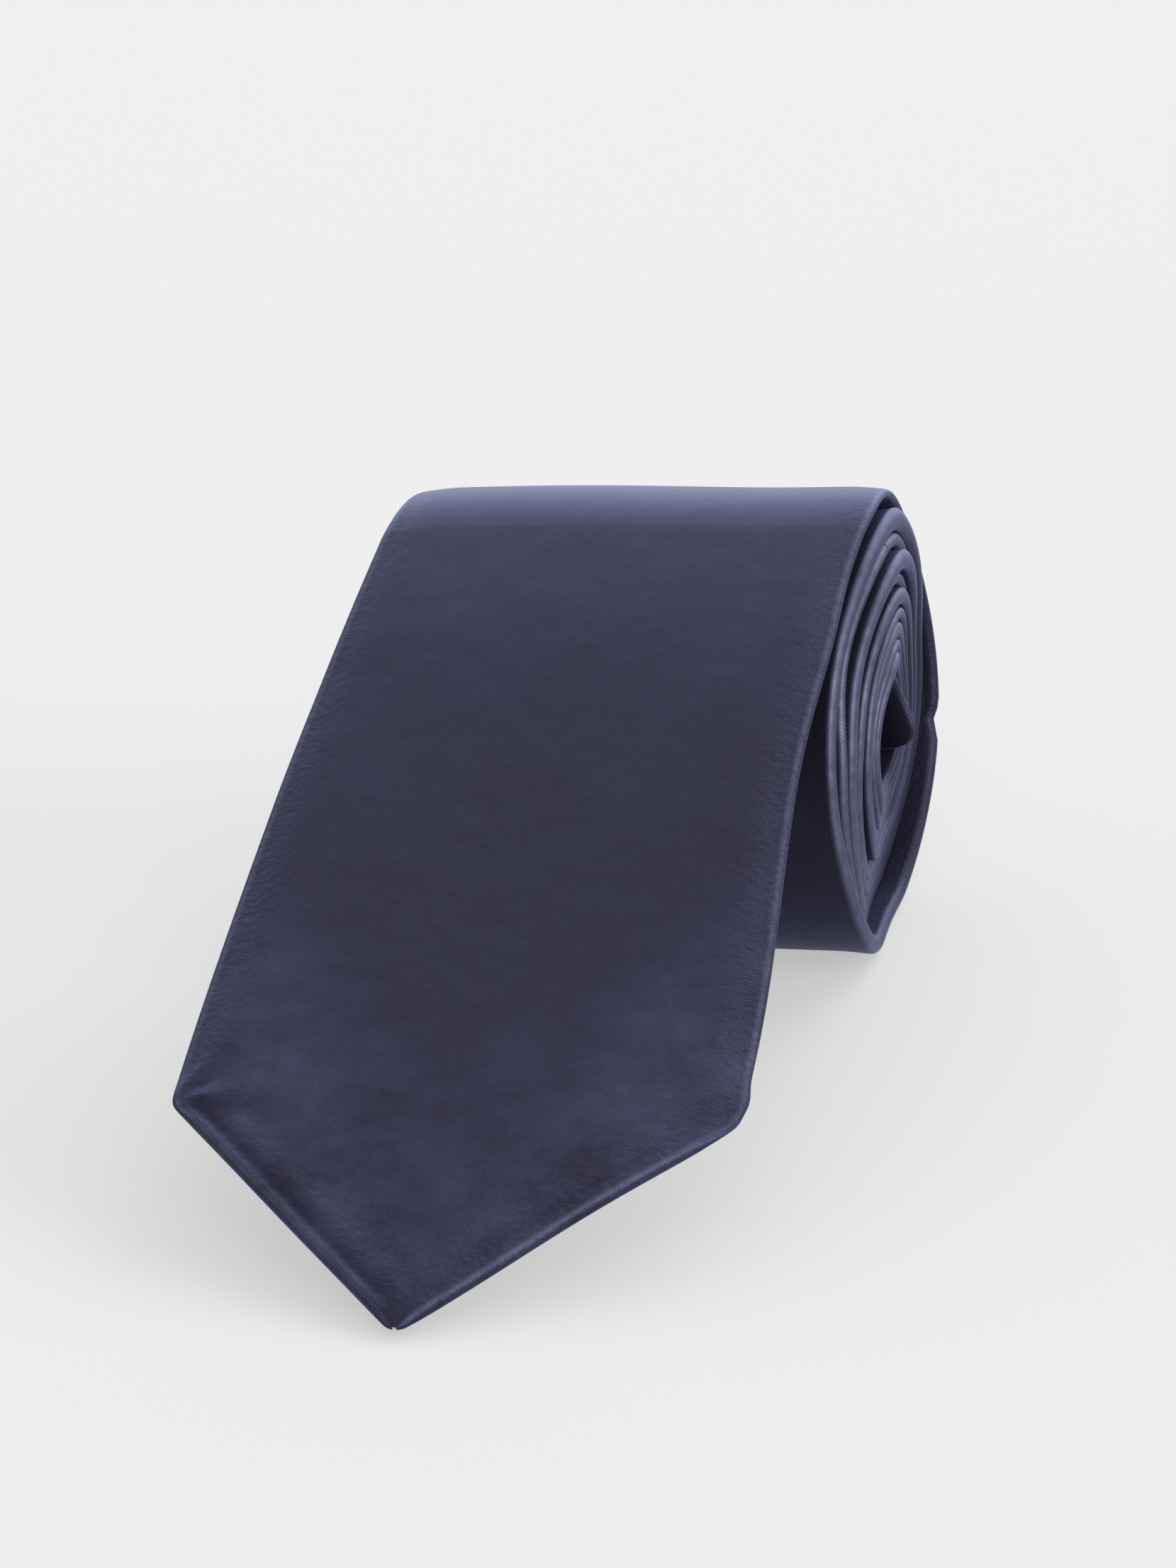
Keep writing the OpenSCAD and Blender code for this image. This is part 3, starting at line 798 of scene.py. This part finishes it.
def make_stitches():
    def slip_stitches(start, end):
        return [arch((s, centre_x(s) - 1.0, back_level(s)), (s + 2.2, centre_x(s) + 1.0,
                back_level(s)), 0.25) for s in np.arange(start, end - 2.3, 4.5)]

    def bar_tack(s):
        return [arch((s + row, centre_x(s) - 4, back_level(s)),
                     (s + row, centre_x(s) + 4, back_level(s)), 0.35, 9)
                for row in np.arange(-0.75, 0.8, 0.3)]

    def hem_stitches(start, end):
        paths = []
        for s in np.arange(start, end, 4.0):
            for side in (-1, 1):
                x = centre_x(s) + side * (half_width(s) - flap_width(s))
                paths.append(arch((s, x + side * 0.7, back_level(s)),
                                  (s + 1.4, x - side * 0.5, back_level(s) + 0.3), 0.22))
        return paths

    def seam(s):
        reach = float(half_width(s)) - 1.5
        level = float(half_thickness(s)) - 0.12
        return [arch((s - 0.5, centre_x(s) + x, level), (s + 0.5, centre_x(s) + x + 0.9, level),
                     -0.12) for x in np.arange(-reach, reach, 1.3)]

    tail_tack = TIE_LEN - TAIL_TACK_FROM_END
    loop_start = tail_tack + 20
    turn = np.radians(np.linspace(0, 180, 13))
    loop = np.stack([loop_start + 4 + 5 * np.sin(turn),
                     centre_x(loop_start) + 1.5 * np.cos(turn),
                     back_level(loop_start) + 0 * turn], axis=-1)
    # Name, paths, thread's radius, body and CAD node
    groups = (
        ("slip_stitches_fall", slip_stitches(TACK_AT + 4, BEND_START - 1), 0.16, "bend",
         "slip_stitch_fall"),
        ("slip_stitches_rolled", slip_stitches(BEND_START + 1, tail_tack - 2), 0.16, "roll",
         "slip_stitch_rolled"),
        ("stitch_loop", [loop], 0.14, "roll", "stitch_reserve_loop"),
        ("blade_tack", bar_tack(TACK_AT + 2), 0.2, "blade", "blade_bar_tack"),
        ("tail_tack", bar_tack(tail_tack), 0.17, "roll", "tail_bar_tack"),
        ("blade_hem_stitches", hem_stitches(HEM_W + 3, TACK_AT - 26), 0.12, "blade",
         "blade_hem_stitch"),
        ("tail_hem_stitches", hem_stitches(tail_tack + 30, TIE_LEN - TAIL_HEM_W), 0.12, "roll",
         "tail_hem_stitch"),
        ("blade_seam_stitches", seam(BLADE_SEAM_AT), 0.09, "roll", "blade_neck_seam"),
        ("tail_seam_stitches", seam(TAIL_SEAM_AT), 0.09, "roll", "neck_tail_seam"),
    )
    for name, paths, radius, body, node in groups:
        finish_piece(threads(name, paths, radius), silk_thread, body, [node])


# ---------------------------------------------------------------- keeper loop and label

def make_keeper_and_label():
    def below(level):
        return lambda s: -half_thickness(s) - level

    keeper = slab("keeper_band", KEEPER_AT, KEEPER_AT + KEEPER_L, 0.8, 40,
                  lambda s: KEEPER_SPAN / 2 + 0 * s, below(0.7), below(0.2), 0.5)
    finish_piece(keeper, satin, "roll", ["keeper_loop"])
    label = slab("blank_label", LABEL_AT, LABEL_AT + LABEL_L, 1.0, 24,
                 lambda s: LABEL_SPAN / 2 + 0 * s, below(0.25), below(0.1))
    finish_piece(label, label_tape, "roll", ["care_label"])
    paths = []
    for side in (-1, 1):
        x = centre_x(KEEPER_AT) + side * (KEEPER_SPAN / 2 - 1.5)
        level = float(below(0.68)(KEEPER_AT))
        for row in np.arange(-0.6, 0.7, 0.3):
            paths.append(arch((KEEPER_AT + 1, x + row, level),
                              (KEEPER_AT + KEEPER_L - 1, x + row, level), 0.12, 7))
    finish_piece(threads("keeper_stitches", paths, 0.12), silk_thread, "roll",
                 ["keeper_tacks"])


# ---------------------------------------------------------------- stage, light and camera

FLOOR_SHADE, FLOOR_GLOW, FLOOR_SIZE = 0.22, 0.475, 3    # size: half its side, in metres
DOME_FROM, DOME_DIM, DOME_BRIGHT = (0.1, 1.0, 0.35), 0.7, 3.0
DOME_EDGE = 0.45                        # where its bright part sets in, as a cosine
KEY_FROM, KEY_POWER = (0.55, 0.85, 0.9), 0.6
FILL_FROM, FILL_POWER = (1.0, -0.3, 0.25), 3.2
FRONT_FROM, FRONT_POWER = (0.3, -0.7, 0.7), 0.8
SUN_SPREAD = 40                         # degrees
CAMERA_TURN, CAMERA_TILT, CAMERA_ROLL = 15.42, 19.76, -3.58     # degrees
CAMERA_FAR = 1307.8                     # millimetres
CAMERA_LENS = 209.571429                # millimetres, for a 36 mm long side
CAMERA_AIM = (0.0, -40.0, 35.0)         # millimetres, from the roll's axis
CAMERA_SHIFT = (1.56, 1.61)             # millimetres, to the right and up


def make_stage():
    far = FLOOR_SIZE
    corners = [(-far, -far, 0), (far, -far, 0), (far, far, 0), (-far, far, 0)]
    mesh = bpy.data.meshes.new("floor")
    mesh.from_pydata(corners, [], [(0, 1, 2, 3)])
    floor = bpy.data.objects.new("floor", mesh)
    bpy.context.scene.collection.objects.link(floor)
    paper = Nodes("pale_floor")
    paper.shader.inputs["Base Color"].default_value = (FLOOR_SHADE, FLOOR_SHADE, FLOOR_SHADE, 1)
    paper.shader.inputs["Emission Color"].default_value = (1, 1, 1, 1)
    paper.shader.inputs["Emission Strength"].default_value = FLOOR_GLOW
    paper.shader.inputs["Roughness"].default_value = 0.95
    paper.shader.inputs["Specular IOR Level"].default_value = 0.1
    mesh.materials.append(paper.material)


def make_lights():
    """A dome that is brightest behind, a soft key, and fills from the right and the front."""
    world = bpy.data.worlds.new("studio")
    world.use_nodes = True
    tree = world.node_tree
    direction = tree.nodes.new("ShaderNodeTexCoord").outputs["Generated"]
    toward = tree.nodes.new("ShaderNodeVectorMath")
    toward.operation = "DOT_PRODUCT"
    toward.inputs[1].default_value = Vector(DOME_FROM).normalized()
    tree.links.new(direction, toward.inputs[0])
    dome = tree.nodes.new("ShaderNodeMapRange")
    dome.interpolation_type = "SMOOTHSTEP"
    dome.inputs["From Min"].default_value = DOME_EDGE
    dome.inputs["From Max"].default_value = 1.0
    dome.inputs["To Min"].default_value = DOME_DIM
    dome.inputs["To Max"].default_value = DOME_BRIGHT
    tree.links.new(toward.outputs["Value"], dome.inputs["Value"])
    tree.nodes["Background"].inputs["Color"].default_value = (1, 1, 1, 1)
    tree.links.new(dome.outputs["Result"], tree.nodes["Background"].inputs["Strength"])
    bpy.context.scene.world = world
    suns = (("key", KEY_FROM, KEY_POWER), ("fill", FILL_FROM, FILL_POWER),
            ("front", FRONT_FROM, FRONT_POWER))
    for name, source, power in suns:
        light = bpy.data.lights.new(name, "SUN")
        light.energy = power
        light.angle = math.radians(SUN_SPREAD)
        lamp = bpy.data.objects.new(name, light)
        lamp.rotation_euler = Vector(source).to_track_quat("Z", "Y").to_euler()
        bpy.context.scene.collection.objects.link(lamp)


def make_camera():
    turn, tilt, roll = (math.radians(a) for a in (CAMERA_TURN, CAMERA_TILT, CAMERA_ROLL))
    forward = Vector((-math.sin(turn) * math.cos(tilt), math.cos(turn) * math.cos(tilt),
                      -math.sin(tilt)))
    level = Vector((math.cos(turn), math.sin(turn), 0))
    upright = level.cross(forward)
    right = level * math.cos(roll) + upright * math.sin(roll)
    up = upright * math.cos(roll) - level * math.sin(roll)
    aim = Vector(CAMERA_AIM) - Vector((MID_X, MID_Y, 0))
    place = aim + right * CAMERA_SHIFT[0] + up * CAMERA_SHIFT[1] - forward * CAMERA_FAR
    data = bpy.data.cameras.new("camera")
    data.sensor_width = 36
    data.lens = CAMERA_LENS
    data.clip_start = 0.05
    data.clip_end = 50
    camera = bpy.data.objects.new("camera", data)
    turned = Matrix((right, up, -forward)).transposed().to_4x4()
    camera.matrix_world = Matrix.Translation(place * MM) @ turned
    bpy.context.scene.collection.objects.link(camera)
    bpy.context.scene.camera = camera


bpy.context.scene.view_settings.view_transform = "Standard"
make_stage()
make_lights()
make_camera()
make_shells()
make_linings()
make_stitches()
make_keeper_and_label()
